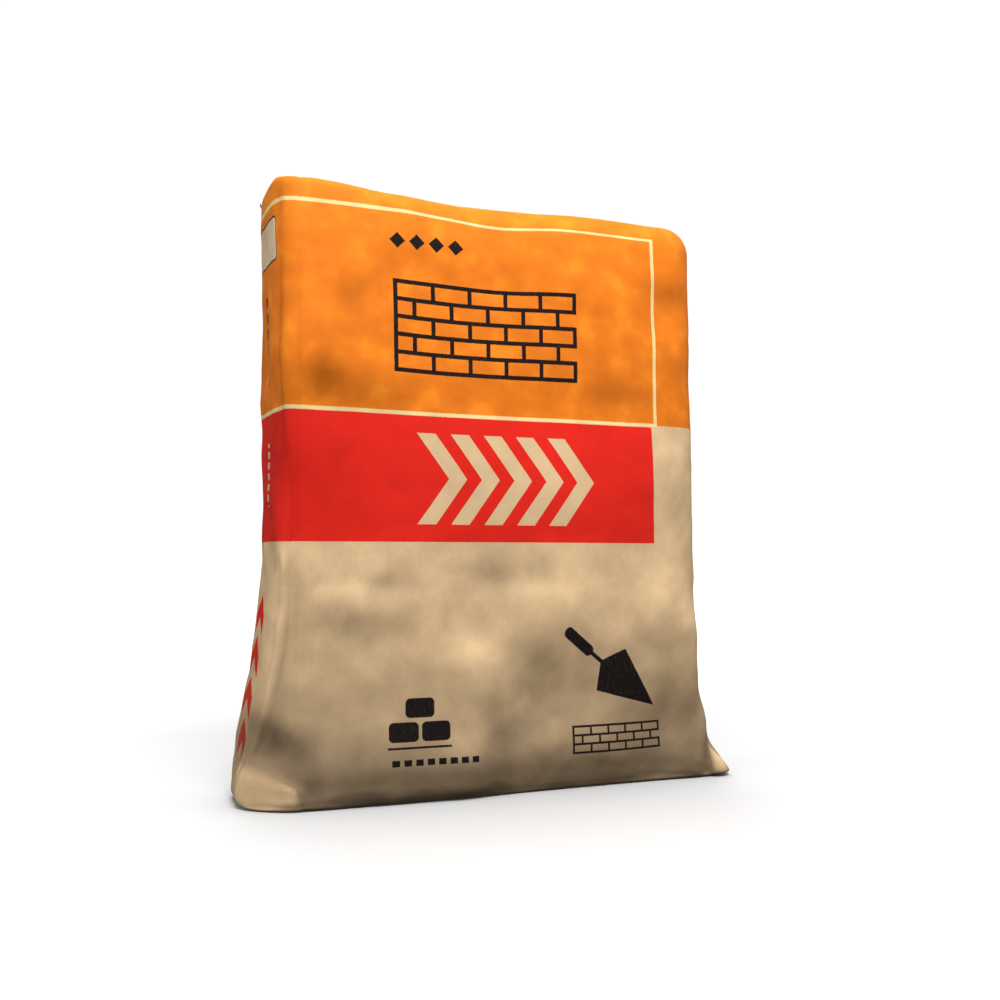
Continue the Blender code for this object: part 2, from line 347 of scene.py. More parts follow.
def sack_points(x, y, z):
    """Points of a plain box, moved to where the filled sack has them. The body's middle is at x = 0."""
    half = (BODY_WIDTH / 2, BODY_DEPTH / 2, HEIGHT / 2)
    x, y, z = rounded((x, y, z - HEIGHT / 2), half, edge_radii(x, z))
    z = z + HEIGHT / 2
    side = 2 * x / BODY_WIDTH
    front = 2 * y / BODY_DEPTH

    y = front * (half_depth(z) - FRONT_BULGE * side**2) * foot_narrowing(x, z)
    y = y + front * LOW_BELLY * bump(x, LOW_BELLY_X, LOW_BELLY_HALF) * near_floor(z)
    x = x - side * SIDE_BULGE * ((y - SIDE_BULGE_Y) / (BODY_DEPTH / 2)) ** 2

    left = np.maximum(0, -side)
    right = np.maximum(0, side)
    x = x + left * LEFT_WAIST * bump(z, LEFT_WAIST_Z, LEFT_WAIST_HALF)
    x = x - left * LEFT_TOP_OUT * ease(z, 0.8 * HEIGHT, 0.95 * HEIGHT)
    x = x - left**3 * FOOT_OUT * (1 - ease(z, 0.0, FOOT_HEIGHT))
    x = x + right**3 * SKIRT_OUT * (1 - ease(z, 0.0, SKIRT_HEIGHT))
    toe = np.maximum(0, 1 - z / TOE_HEIGHT)
    x = x + right**4 * TOE_OUT * toe * bump(y, TOE_Y, TOE_SPREAD)

    level = ease(z, 0.5 * HEIGHT, HEIGHT)
    z = z - level * TOP_SAG * bump(x, TOP_SAG_X, TOP_SAG_HALF)
    z = z + level * VALVE_CORNER_RISE * left**2 * np.maximum(0, front)
    return x, y, SACK_BOTTOM + z * (1 - SACK_BOTTOM / HEIGHT)


def body_middle():
    """Where the body's middle lies, for the sack's left end to be where the solid's is."""
    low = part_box("paper_sack")[0]
    y, z = np.meshgrid(np.linspace(-0.5, 0.5, 60) * BODY_DEPTH, np.linspace(0, HEIGHT, 400))
    reach = sack_points(np.full_like(y, -BODY_WIDTH / 2), y, z)[0].min()
    return low.x - reach


BODY_X = body_middle()


def lines(half, low_corner, high_corner):
    """Where the box is cut along one of its sides: closer together in the round edges."""
    low = np.linspace(-half, -half + low_corner, CORNER_STEPS + 1)
    high = np.linspace(half - high_corner, half, CORNER_STEPS + 1)
    middle_steps = round((2 * half - low_corner - high_corner) / PAPER_STEP)
    middle = np.linspace(-half + low_corner, half - high_corner, middle_steps + 1)
    return np.concatenate([low[:-1], middle, high[1:]])


def box_grid():
    """The surface of a box, cut into quads: its points, its faces, and the side that each face is on."""
    cuts = (
        lines(BODY_WIDTH / 2, 2 * LEFT_EDGE, RIGHT_EDGE),
        lines(BODY_DEPTH / 2, SHOULDER_DEPTH, SHOULDER_DEPTH),
        lines(HEIGHT / 2, BASE_RADIUS, RIGHT_TOP_RADIUS) + HEIGHT / 2,
    )
    shape = tuple(len(c) for c in cuts)
    skin = np.ones(shape, bool)
    skin[1:-1, 1:-1, 1:-1] = False
    index = np.full(shape, -1)
    index[skin] = np.arange(skin.sum())
    points = np.stack([c[i] for c, i in zip(cuts, np.nonzero(skin))], axis=1)
    faces = []
    sides = []
    for name, axis, end, flip in (
        ("left", 0, 0, True), ("right", 0, -1, False), ("front", 1, 0, False),
        ("back", 1, -1, True), ("bottom", 2, 0, True), ("top", 2, -1, False),
    ):
        sheet = np.take(index, end, axis=axis)
        quads = np.stack([sheet[:-1, :-1], sheet[1:, :-1], sheet[1:, 1:], sheet[:-1, 1:]], axis=-1)
        quads = quads.reshape(-1, 4)
        faces.append(quads[:, ::-1] if flip else quads)
        sides += [name] * len(quads)
    return points, np.concatenate(faces), np.array(sides)


def print_place(corners, sides):
    """U and V of each face corner on the unrolled paper, which hangs lower in two places."""
    across = corners[..., 0] + BODY_WIDTH / 2
    deep = corners[..., 1] + BODY_DEPTH / 2
    side = sides[:, None]
    u = np.select(
        [side == "left", side == "right", side == "back"],
        [-deep, BODY_WIDTH + deep, -BODY_DEPTH - across],
        across,
    )
    v = np.select([side == "top", side == "bottom"], [HEIGHT + deep, -deep], corners[..., 2])
    drop = SLACK_DROP * bump(across, SLACK_U, SLACK_HALF)
    drop += LEFT_DROP * (1 - ease(across, LEFT_DROP_FROM, LEFT_DROP_TO))
    v = v + drop * ease(v, 0.36, 0.43) * (side != "top")
    return np.stack([u, v], axis=-1)


def bake_place(corners, sides):
    """A flat layout of the six sides in the unit square, for textures that are baked from the materials."""
    across = corners[..., 0] + BODY_WIDTH / 2
    deep = corners[..., 1] + BODY_DEPTH / 2
    up = corners[..., 2]
    side = sides[:, None]
    names = [side == n for n in ("front", "back", "left", "right", "top", "bottom")]
    gap = 0.010
    second = BODY_WIDTH + gap
    row = HEIGHT + gap
    step = BODY_DEPTH + gap
    third_row = row + 2 * step + deep
    u = np.select(names, [across, second + across, up, up, across, second + across])
    v = np.select(names, [up, up, row + deep, row + step + deep, third_row, third_row])
    return (np.stack([u, v], axis=-1) + gap / 2) / (row + 3 * step)


def add_mesh(name, points, faces):
    mesh = bpy.data.meshes.new(name)
    mesh.from_pydata(points.tolist(), [], faces.tolist())
    mesh.shade_smooth()
    obj = bpy.data.objects.new(name, mesh)
    bpy.context.scene.collection.objects.link(obj)
    return obj


def sack_grid(name):
    """The filled sack's paper as a plain, even mesh, with its print and bake coordinates."""
    flat, faces, sides = box_grid()
    x, y, z = sack_points(*flat.T)
    obj = add_mesh(name, np.stack([x + BODY_X, y, z], axis=1), faces)
    for layer, place in (("Print", print_place), ("OFBake", bake_place)):
        values = place(flat[faces], sides).reshape(-1, 2)
        obj.data.uv_layers.new(name=layer).data.foreach_set("uv", values.ravel().astype(np.float32))
    return obj


def apply_modifiers(obj):
    depsgraph = bpy.context.evaluated_depsgraph_get()
    mesh = bpy.data.meshes.new_from_object(obj.evaluated_get(depsgraph), depsgraph=depsgraph)
    obj.modifiers.clear()
    obj.data = mesh
    mesh.name = obj.name


def coordinates(mesh, kind="co"):
    values = np.empty(len(mesh.vertices) * 3)
    if kind == "normal":
        mesh.vertex_normals.foreach_get("vector", values)
    else:
        mesh.vertices.foreach_get("co", values)
    return values.reshape(-1, 3)


def smoothed(values, mesh, passes):
    """Values at a mesh's points, averaged with their neighbours this many times."""
    edges = np.empty(len(mesh.edges) * 2, int)
    mesh.edges.foreach_get("vertices", edges)
    here = np.concatenate([edges[0::2], edges[1::2]])
    there = np.concatenate([edges[1::2], edges[0::2]])
    count = np.bincount(here)
    for _ in range(passes):
        around = [np.bincount(here, column[there]) / count for column in values.T]
        values = (values + np.stack(around, axis=1)) / 2
    return values


def cloth_creases(obj):
    """How far a short cloth run creases the slack paper, with the swelling that comes with it left out."""
    scene = bpy.context.scene
    start = coordinates(obj.data)
    paper = obj.modifiers.new("Cloth", "CLOTH").settings
    paper.quality = 5
    paper.mass = 0.25
    paper.tension_stiffness = paper.compression_stiffness = PAPER_STRETCH
    paper.shear_stiffness = PAPER_STRETCH / 3
    paper.bending_stiffness = PAPER_BEND
    paper.shrink_min = -PAPER_SLACK
    paper.use_pressure = True
    paper.uniform_pressure_force = POWDER_PRESSURE
    paper.effector_weights.gravity = 0
    for number in range(1, CLOTH_FRAMES + 1):
        scene.frame_set(number)
    depsgraph = bpy.context.evaluated_depsgraph_get()
    moves = coordinates(obj.evaluated_get(depsgraph).data) - start
    obj.modifiers.clear()
    scene.frame_set(1)
    return moves - smoothed(moves, obj.data, SWELL_PASSES)


def crease(obj):
    """Creases a mesh of the plain form: a little on its front and top, more elsewhere, not on its base."""
    points = coordinates(obj.data)
    normals = coordinates(obj.data, "normal")
    facing = ease(-normals[:, 1], 0.3, 0.8)
    upward = ease(normals[:, 2], 0.5, 0.9)
    creases = cloth_creases(obj)
    length = np.linalg.norm(creases, axis=1)
    kept = np.minimum(1, CREASE_CAP / np.maximum(length, 1e-9)) * mix(CREASE_ELSEWHERE, CREASE_FRONT, facing)
    kept *= ease(points[:, 2], 0.001, 0.030) * (1 - 0.7 * upward)
    obj.data.vertices.foreach_set("co", (points + creases * kept[:, None]).ravel())
    obj.data.update()


def clouds(points, size, seed):
    """Smooth noise from about -1 to 1, in lumps of about this size."""
    offset = Vector((seed, 2.3 * seed, -1.7 * seed))
    return np.array([noise.noise(Vector(p) / size + offset) for p in points])


def fold_lines(points, size, seed):
    """Noise that is 1 along thin wandering lines, and falls to 0 between them."""
    return np.clip(1 - 3.2 * np.abs(clouds(points, size, seed)), 0, 1) ** 2


def tones(u, v):
    """The tone at each place of the front, and how far the paper stands out there to have that slope."""
    tone = np.zeros_like(u)
    out = np.zeros_like(u)
    for middle_u, middle_v, half_u, half_v, strength in TONES:
        across = (u - middle_u) / half_u
        up = (v - middle_v) / half_v
        tone += strength * hill(across, up)
        out -= TONE_SLOPE * strength * half_v * np.tanh(up) * hill(across, up / 4)
    return tone, out


def foot_relief(u, v):
    """The tone and the height of the foot's tongue, whose top edge is softer at its left, dent and notch."""
    edge = mix(TONGUE_SOFT_EDGE, TONGUE_CRISP_EDGE, ease(u, -0.005, 0.015))
    under_top = ease(TONGUE_TOP - TONGUE_FALL * u - v + edge / 3, 0.0, edge)
    tongue = ease(TONGUE_END - u, 0.0, TONGUE_TIP_LENGTH) * under_top
    along, across = turned(u, v, DENT_U, DENT_V, DENT_SLANT)
    dent = hill(along / DENT_HALF_LENGTH, across / DENT_HALF_WIDTH) * (1 - tongue)
    notch = hill((u - NOTCH_U) / NOTCH_HALF, (v - NOTCH_V) / NOTCH_HALF) * (1 - tongue)
    # Painted light on the tongue, painted shade in the dent and the notch
    tone = TONGUE_TONE * tongue - DENT_TONE * dent - NOTCH_TONE * notch
    return tone, TONGUE_HEIGHT * tongue - DENT_DEPTH * dent - NOTCH_DEPTH * notch


def front_relief(u, v):
    """The front's tone, and how far it stands out from the plain form or in."""
    tone, out = tones(u, v)
    over_foot = ease(v, 0.040, 0.080)
    edge_crease = np.exp(-(((u - EDGE_CREASE_U) / EDGE_CREASE_HALF) ** 2)) * over_foot
    strip = np.exp(-(((u - STRIP_SHADE_U) / STRIP_SHADE_HALF) ** 2)) * over_foot
    out -= STRIP_TURNS_BACK * np.clip((STRIP_WIDTH - u) / STRIP_WIDTH, 0, 1) ** 1.5
    out -= EDGE_CREASE_DEPTH * edge_crease
    # Painted shade on the strip that turns back and along the crease
    tone -= STRIP_TONE * strip + EDGE_CREASE_TONE * edge_crease
    return tone, out


def relief(points, normals):
    """The paper's tone at each point, its painted light and shade, and how far it moves along its normal:
    dents, folds and slack.
    """
    u = points[:, 0] - BODY_X + BODY_WIDTH / 2
    v = points[:, 2]
    facing = ease(-normals[:, 1], 0.3, 0.8)
    lumps = clouds(points, LUMP_SIZE, seed=3.1)
    tone, out = front_relief(u, v)
    foot_tone, foot_out = foot_relief(u, v)
    round_corner = ease(-normals[:, 1], -0.2, 0.3)
    tone = mix(LUMP_TONE * lumps, tone, facing) + foot_tone * round_corner
    out = out * facing + foot_out * round_corner
    quiet = 1 - FRONT_QUIET * facing
    out += LUMP_HEIGHT * lumps * quiet
    out += RIPPLE_HEIGHT * clouds(points, RIPPLE_SIZE, seed=7.7) * mix(1, quiet, 0.6)
    out += FOLD_HEIGHT * fold_lines(points, FOLD_SPACING, seed=5.2) * quiet
    out -= FINE_FOLD_DEPTH * fold_lines(points, FINE_FOLD_SPACING, seed=11.4)
    out += GRAIN_HEIGHT * clouds(points, GRAIN_SIZE, seed=1.9)

    # The folded top: the tucked ends lie under the long flaps, along a slanting edge from each corner
    past_fold = np.abs(points[:, 0] - BODY_X) + TOP_DEPTH / 2 - np.abs(points[:, 1]) - BODY_WIDTH / 2
    out -= TOP_FOLD_DEPTH * ease(past_fold, -0.001, 0.002) * ease(normals[:, 2], 0.6, 0.9)
    return tone, out


def shape_paper(obj, inset=0.0):
    """Moves a mesh of the plain form to the creased paper, or to this far inside it."""
    points = coordinates(obj.data)
    normals = coordinates(obj.data, "normal")
    tone, out = relief(points, normals)
    shift = normals * (out - inset)[:, None]
    shift[:, 2] *= ease(points[:, 2], 0.001, 0.012)
    moved = points + shift
    obj.data.vertices.foreach_set("co", moved.ravel())
    # Tone: the painted light and shade that the paper's material scales its colour by
    obj.data.attributes.new("Tone", "FLOAT", "POINT").data.foreach_set("value", tone.astype(np.float32))
    obj.data.update()


def sheet_over(name, source, low, high, facing, lift, thickness):
    """A sheet of paper on another piece: its faces in a box that look this way, lifted and made thick."""
    bm = bmesh.new()
    bm.from_mesh(source.data)
    bmesh.ops.delete(bm, geom=[f for f in bm.faces if f.normal.dot(facing) < 0.5], context="FACES")
    for corner, outwards in ((low, -1.0), (high, 1.0)):
        for axis in range(3):
            direction = Vector((0.0, 0.0, 0.0))
            direction[axis] = outwards
            everything = bm.verts[:] + bm.edges[:] + bm.faces[:]
            bmesh.ops.bisect_plane(bm, geom=everything, plane_co=corner, plane_no=direction, clear_outer=True)
    bm.normal_update()
    for vert, normal in [(v, v.normal.copy()) for v in bm.verts]:
        vert.co += normal * lift(vert.co)
    mesh = bpy.data.meshes.new(name)
    bm.to_mesh(mesh)
    bm.free()
    mesh.uv_layers.remove(mesh.uv_layers["OFBake"])
    sheet = bpy.data.objects.new(name, mesh)
    bpy.context.scene.collection.objects.link(sheet)
    wall = sheet.modifiers.new("Paper", "SOLIDIFY")
    wall.thickness = thickness
    wall.offset = 1.0
    apply_modifiers(sheet)
    return sheet


class Field:
    """A number that varies over a surface. Sums and products of fields add Math nodes to its tree."""

    def __init__(self, tree, socket):
        self.tree = tree
        self.socket = socket

    def maths(self, operation, *values):
        node = self.tree.nodes.new("ShaderNodeMath")
        node.operation = operation
        for socket, value in zip(node.inputs, values):
            if isinstance(value, Field):
                self.tree.links.new(value.socket, socket)
            else:
                socket.default_value = value
        return Field(self.tree, node.outputs[0])

    def op(self, operation, *others):
        return self.maths(operation, self, *others)

    def __add__(self, other):
        return self.op("ADD", other)

    def __sub__(self, other):
        return self.op("SUBTRACT", other)

    def __rsub__(self, other):
        return self.maths("SUBTRACT", other, self)

    def __mul__(self, other):
        return self.op("MULTIPLY", other)

    def __abs__(self):
        return self.op("ABSOLUTE")

    __radd__ = __add__
    __rmul__ = __mul__

    def least(self, other):
        return self.op("MINIMUM", other)

    def most(self, other):
        return self.op("MAXIMUM", other)

    def ramp(self, low, high, to_low=0.0, to_high=1.0):
        node = self.tree.nodes.new("ShaderNodeMapRange")
        node.interpolation_type = "SMOOTHSTEP"
        self.tree.links.new(self.socket, node.inputs["Value"])
        for name, value in (("From Min", low), ("From Max", high), ("To Min", to_low), ("To Max", to_high)):
            node.inputs[name].default_value = value
        return Field(self.tree, node.outputs["Result"])


class Surface:
    """A material under construction: its shader, and what is commonly put in front of it."""

    def __init__(self, name):
        self.material = bpy.data.materials.new(name)
        self.material.use_nodes = True
        self.tree = self.material.node_tree
        self.shader = self.tree.nodes["Principled BSDF"]

    def link(self, source, target):
        self.tree.links.new(source, target)

    def position(self):
        return self.tree.nodes.new("ShaderNodeTexCoord").outputs["Object"]

    def print_fields(self):
        uv = self.tree.nodes.new("ShaderNodeUVMap")
        uv.uv_map = "Print"
        split = self.tree.nodes.new("ShaderNodeSeparateXYZ")
        self.link(uv.outputs["UV"], split.inputs[0])
        return Field(self.tree, split.outputs["X"]), Field(self.tree, split.outputs["Y"])

    def height(self):
        split = self.tree.nodes.new("ShaderNodeSeparateXYZ")
        self.link(self.position(), split.inputs[0])
        return Field(self.tree, split.outputs["Z"])

    def tone(self):
        node = self.tree.nodes.new("ShaderNodeAttribute")
        node.attribute_name = "Tone"
        return Field(self.tree, node.outputs["Fac"])

    def scaled(self, colour, factor):
        """A colour, made lighter or darker."""
        node = self.tree.nodes.new("ShaderNodeVectorMath")
        node.operation = "SCALE"
        self.link(colour, node.inputs[0])
        self.link(factor.socket, node.inputs["Scale"])
        return node.outputs[0]

    def noise(self, scale, detail=2.0, roughness=0.5, stretch=(1.0, 1.0, 1.0)):
        """Noise from 0 to 1 with this many lumps to the metre, stretched by dividing the axes' scale."""
        mapping = self.tree.nodes.new("ShaderNodeMapping")
        mapping.inputs["Scale"].default_value = [scale / s for s in stretch]
        self.link(self.position(), mapping.inputs["Vector"])
        node = self.tree.nodes.new("ShaderNodeTexNoise")
        node.inputs["Scale"].default_value = 1.0
        node.inputs["Detail"].default_value = detail
        node.inputs["Roughness"].default_value = roughness
        self.link(mapping.outputs["Vector"], node.inputs["Vector"])
        return Field(self.tree, node.outputs["Fac"])

    def blend(self, amount, low, high, how="MIX"):
        """A colour between two, each a fixed colour or a node's output."""
        node = self.tree.nodes.new("ShaderNodeMix")
        node.data_type = "RGBA"
        node.blend_type = how
        colours = [s for s in node.inputs if s.type == "RGBA"]
        for socket, value in ((node.inputs["Factor"], amount), (colours[0], low), (colours[1], high)):
            if isinstance(value, Field):
                self.link(value.socket, socket)
            elif isinstance(value, bpy.types.NodeSocket):
                self.link(value, socket)
            elif isinstance(value, tuple):
                socket.default_value = (*value, 1.0)
            else:
                socket.default_value = value
        return next(s for s in node.outputs if s.type == "RGBA")

    def bump(self, height, distance, strength=1.0):
        node = self.tree.nodes.new("ShaderNodeBump")
        node.inputs["Strength"].default_value = strength
        node.inputs["Distance"].default_value = distance
        self.link(height.socket, node.inputs["Height"])
        self.link(node.outputs["Normal"], self.shader.inputs["Normal"])

    def finish(self, colour, roughness, specular):
        self.link(colour, self.shader.inputs["Base Color"])
        self.link(roughness.socket, self.shader.inputs["Roughness"])
        self.shader.inputs["Specular IOR Level"].default_value = specular
        return self.material


def rectangle(u, v, low_u, high_u, low_v, high_v):
    """How far inside a rectangle each place is. Outside it is below 0."""
    across = (high_u - low_u) / 2 - abs(u - (low_u + high_u) / 2)
    return across.least((high_v - low_v) / 2 - abs(v - (low_v + high_v) / 2))


def pad(u, v, middle_u, middle_v, half_u, half_v, radius):
    """How far inside a rectangle with round corners each place is."""
    across = (abs(u - middle_u) - (half_u - radius)).most(0.0)
    up = (abs(v - middle_v) - (half_v - radius)).most(0.0)
    return radius - (across * across + up * up).op("SQRT")


def chevrons(u, v, first_u, middle_v, pitch, count, half_height, width):
    """A row of arrow heads that point away from the sack's left edge."""
    rise = abs(v - middle_v)
    along = u + 0.75 * rise - first_u
    step = along.op("WRAP", pitch, 0.0)
    band = width / 2 - abs(step - width / 2)
    last = pitch * (count - 1) + width
    row = rectangle(along, v, -width, last + width, middle_v - half_height, middle_v + half_height)
    row = row.least(along + width / 2).least(last + width / 2 - along)
    return band.least(row)


def diamonds(u, v, first_u, middle_v, pitch, count, radius):
    step = abs((u - first_u).op("WRAP", pitch, 0.0) - pitch / 2)
    row = rectangle(u, v, first_u, first_u + pitch * count, middle_v - radius, middle_v + radius)
    return (radius - step - abs(v - middle_v)).least(row)


def dashes(along, pitch, gap, row):
    """What is left of a row when a gap is cut from the start of each pitch along it."""
    return (along.op("WRAP", pitch, 0.0) - gap).least(row)


def brickwork(u, v, low_u, low_v, bricks, courses, length, course, joint):
    """The joints of a brick wall, drawn as lines. Its end away from the sack's left edge is toothed."""
    along = u - low_u
    rise = v - low_v
    odd = (rise * (0.5 / course)).op("FRACT").op("GREATER_THAN", 0.5)
    to_joint = (along + odd * (length / 2)).op("PINGPONG", length / 2).least(abs(along))
    joints = joint / 2 - to_joint.least(rise.op("PINGPONG", course / 2))
    edge = joint / 2
    return joints.least(rectangle(along, rise, -edge, bricks * length + edge, -edge, courses * course + edge))


def trowel(u, v, middle_u, middle_v, size):
    """A bricklayer's trowel: a pointed blade, a thin neck and a round grip."""
    along, across = turned(u, v, middle_u, middle_v, radians(-38))
    blade = (0.50 * size - along) * 0.42 - abs(across)
    heel = (along + 0.16 * size) * 1.6 - abs(across) * 0.9
    neck = rectangle(along, across, -0.28 * size, -0.10 * size, -0.018 * size, 0.018 * size)
    grip = pad(along, across, -0.44 * size, 0.0, 0.17 * size, 0.050 * size, 0.045 * size)
    return blade.least(heel).most(neck).most(grip)


def inked(inside, wander):
    """How much ink there is, from 0 to 1, with the slightly rough edge of a print on kraft paper."""
    return (inside + wander).ramp(-0.00022, 0.00022)


def print_masks(u, v, wander):
    """Where each ink lies. The back repeats the front, mirrored about the middle of the left side."""
    side = u + BODY_DEPTH / 2
    place = abs(side) - BODY_DEPTH / 2
    half = KEYLINE_WIDTH / 2

    orange = v - ORANGE_LOW
    red = (RED_RIGHT - place).least(v - RED_LOW).least(RED_HIGH - v)
    keyline_top = (half - abs(v - KEYLINE_TOP)).least(KEYLINE_RIGHT + half - place)
    keyline_side = (half - abs(place - KEYLINE_RIGHT)).least(v - ORANGE_LOW).least(KEYLINE_TOP + half - v)
    under_line = (0.0013 - abs(v - ORANGE_LOW - 0.0003)).least(KEYLINE_RIGHT + half - place)
    pale = keyline_top.most(keyline_side).most(under_line)

    window = pad(side, v, middle_u=0.0, middle_v=0.4143, half_u=0.0435, half_v=0.0172, radius=0.0050)
    window_edge = 0.0007 - abs(window)

    dark = brickwork(
        place, v, low_u=0.085, low_v=0.3170, bricks=5, courses=5, length=0.0300, course=0.0138, joint=0.0034
    )
    dark = dark.most(diamonds(place, v, first_u=0.080, middle_v=0.4180, pitch=0.0155, count=4, radius=0.0062))
    for brick_u, brick_v in ((0.0925, 0.0515), (0.1165, 0.0515), (0.1045, 0.0685)):
        dark = dark.most(pad(place, v, brick_u, brick_v, half_u=0.0108, half_v=0.0070, radius=0.0035))
    dark = dark.most(rectangle(place, v, low_u=0.0810, high_u=0.1280, low_v=0.0395, high_v=0.0411))
    row = rectangle(place, v, low_u=0.0810, high_u=0.1490, low_v=0.0275, high_v=0.0320)
    dark = dark.most(dashes(place - 0.0810, pitch=0.0085, gap=0.0030, row=row))
    dark = dark.most(trowel(place, v, middle_u=0.266, middle_v=0.0885, size=0.090))
    dark = dark.most(brickwork(
        place, v, low_u=0.2300, low_v=0.0280, bricks=5, courses=3, length=0.0150, course=0.0066, joint=0.0017
    ))
    row = rectangle(side, v, low_u=0.0060, high_u=0.0130, low_v=0.300, high_v=0.372)
    dark = dark.most(dashes(v, pitch=0.012, gap=0.004, row=row))

    bare = chevrons(
        place, v, first_u=0.1255, middle_v=0.2360, pitch=0.0273, count=5, half_height=0.0340, width=0.0150
    )
    row = rectangle(side, v, low_u=0.0040, high_u=0.0110, low_v=0.215, high_v=0.262)
    bare = bare.most(dashes(v, pitch=0.008, gap=0.003, row=row))

    red_rise = v + 0.9 * abs(side)
    low_red = dashes(red_rise, pitch=0.030, gap=0.014, row=0.016 - abs(side))
    low_red = low_red.least(red_rise - 0.040).least(0.157 - red_rise)

    return {
        "orange": inked(orange, wander), "red": inked(red.most(low_red), wander),
        "pale": inked(pale, wander), "window": inked(window, wander),
        "dark": inked(dark.most(window_edge), wander), "bare": inked(bare, wander),
    }


def kraft_colour(surface):
    """Unbleached paper: cloudy, with long fibres up the tube, and a few dark specks."""
    cloudy = surface.noise(14, 3).ramp(0.30, 0.70)
    fibres = surface.noise(1500, 3, 0.6, (1, 1, 7)).ramp(0.25, 0.75)
    specks = surface.noise(1900, 1).ramp(0.70, 0.78)
    colour = surface.blend(cloudy, shade(KRAFT, 0.90), shade(KRAFT, 1.06))
    colour = surface.blend(fibres * 0.16, colour, KRAFT_FIBRE)
    return surface.blend(specks * 0.45, colour, KRAFT_SPECK), cloudy, fibres


def sack_material():
    surface = Surface("printed_kraft")
    u, v = surface.print_fields()
    wander = (surface.noise(1100, 2) - 0.5) * 0.0006
    masks = print_masks(u, v, wander)
    paper, cloudy, fibres = kraft_colour(surface)

    mottle = surface.noise(46, 2)
    # Lighter, yellower orange: a painted highlight towards the top, and thinner ink in random patches
    thin_ink_and_top_highlight = v.ramp(0.405, 0.455, 0.0, 0.35) + mottle.ramp(0.50, 0.72, 0.0, 0.45)
    orange = surface.blend(thin_ink_and_top_highlight.least(1.0), shade(ORANGE, 0.96), YELLOW_ORANGE)
    colour = surface.blend(masks["orange"], paper, surface.blend(fibres * 0.10, orange, ORANGE_FIBRE))
    colour = surface.blend(masks["pale"], colour, PALE_LINE)
    red = surface.blend(cloudy, shade(RED, 0.92), shade(RED, 1.05))
    colour = surface.blend(masks["red"], colour, surface.blend(fibres * 0.10, red, RED_FIBRE))
    colour = surface.blend(masks["window"], colour, surface.blend(fibres * 0.12, WINDOW, KRAFT))
    colour = surface.blend(masks["bare"], colour, paper)

    tone = surface.tone()
    # Painted shade: the paper darkens towards the floor, more at its very foot and less where the tone is lit
    height = surface.height() + (surface.noise(22, 3) - 0.5) * 0.040
    painted_low_shade = height.ramp(-0.010, 0.150, 0.75, 0.0) * (1 - 2 * tone).least(1.0).most(0.0)
    painted_low_shade = painted_low_shade.most(height.ramp(0.004, 0.024, 0.80, 0.0) * (1 - 2 * tone).least(1.0))
    colour = surface.blend(painted_low_shade, colour, PAINTED_SHADE_BROWN)
    stain = PAPER_STAIN * (mottle - 0.5) * (1 - 0.7 * masks["red"])
    # Painted light and shade from the tone, with the paper's own mottling
    colour = surface.scaled(colour, 1 + TONE_PAINTED_SHADING * tone + stain)
    colour = surface.blend(masks["dark"] * fibres.ramp(0.0, 0.4, 0.95, 1.0), colour, DARK_INK)

    ink = masks["orange"].most(masks["red"]).most(masks["dark"])
    grain = surface.noise(420, 3, 0.6, (1, 1, 3))
    roughness = 0.74 - 0.16 * ink + 0.10 * (grain - 0.5)
    crumple = surface.noise(90, 2)
    surface.bump(grain * 0.20 + fibres * 0.08 + crumple * 0.5, 0.0004)
    return surface.finish(colour, roughness, 0.04)


def patch_material(name):
    """The plain kraft of a cover strip, a shade darker than the sack, with its glue showing through."""
    surface = Surface(name)
    paper = kraft_colour(surface)[0]
    glue = surface.noise(38, 4, 0.65).ramp(0.40, 0.75)
    colour = surface.blend(0.22 + 0.10 * glue, paper, GLUE_BROWN)
    colour = surface.scaled(colour, glue.ramp(0.0, 1.0, 0.74, 0.69))
    grain = surface.noise(420, 3, 0.6, (3, 1, 1))
    surface.bump(grain * 0.3 + surface.noise(90, 2) * 0.5, 0.0004)
    return surface.finish(colour, 0.80 - 0.15 * glue, 0.15)


def sleeve_material():
    surface = Surface("grey_sleeve_paper")
    fibres = surface.noise(1300, 3, 0.6, (5, 1, 1)).ramp(0.3, 0.7)
    dust = surface.noise(90, 3).ramp(0.45, 0.75)
    colour = surface.blend(fibres * 0.3, SLEEVE_GREY, shade(SLEEVE_GREY, 0.72))
    colour = surface.blend(dust * 0.5, colour, CEMENT_GREY)
    surface.bump(surface.noise(350, 3), 0.0003)
    return surface.finish(colour, 0.62 + 0.2 * dust, 0.3)


def cement_material():
    surface = Surface("grey_cement")
    grains = surface.noise(2200, 4, 0.7).ramp(0.3, 0.7)
    lumps = surface.noise(60, 4).ramp(0.3, 0.7)
    colour = surface.blend(grains, shade(CEMENT_GREY, 0.85), shade(CEMENT_GREY, 1.12))
    colour = surface.blend(lumps * 0.3, colour, CEMENT_LUMP)
    surface.bump(grains + 0.8 * lumps, 0.0005)
    return surface.finish(colour, 0.90 + 0.08 * (grains - 0.5), 0.2)


def give(obj, material):
    """Puts a material on every face of a piece."""
    obj.data.materials.clear()
    obj.data.materials.append(material)


def place_piece(obj, slot_name, *nodes):
    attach(obj, "root")
    if nodes:
        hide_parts(*nodes)


def make_sack():
    """The paper sack and the cement in it, which has the same dents."""
    sack = sack_grid("sack")
    crease(sack)
    cement = sack.copy()
    cement.data = sack.data.copy()
    cement.name = cement.data.name = "cement"
    bpy.context.scene.collection.objects.link(cement)

    finer = sack.modifiers.new("Finer", "SUBSURF")
    finer.levels = finer.render_levels = 1
    finer.uv_smooth = "NONE"
    apply_modifiers(sack)
    shape_paper(sack)
    shape_paper(cement, inset=CEMENT_INSET)
    return sack, cement


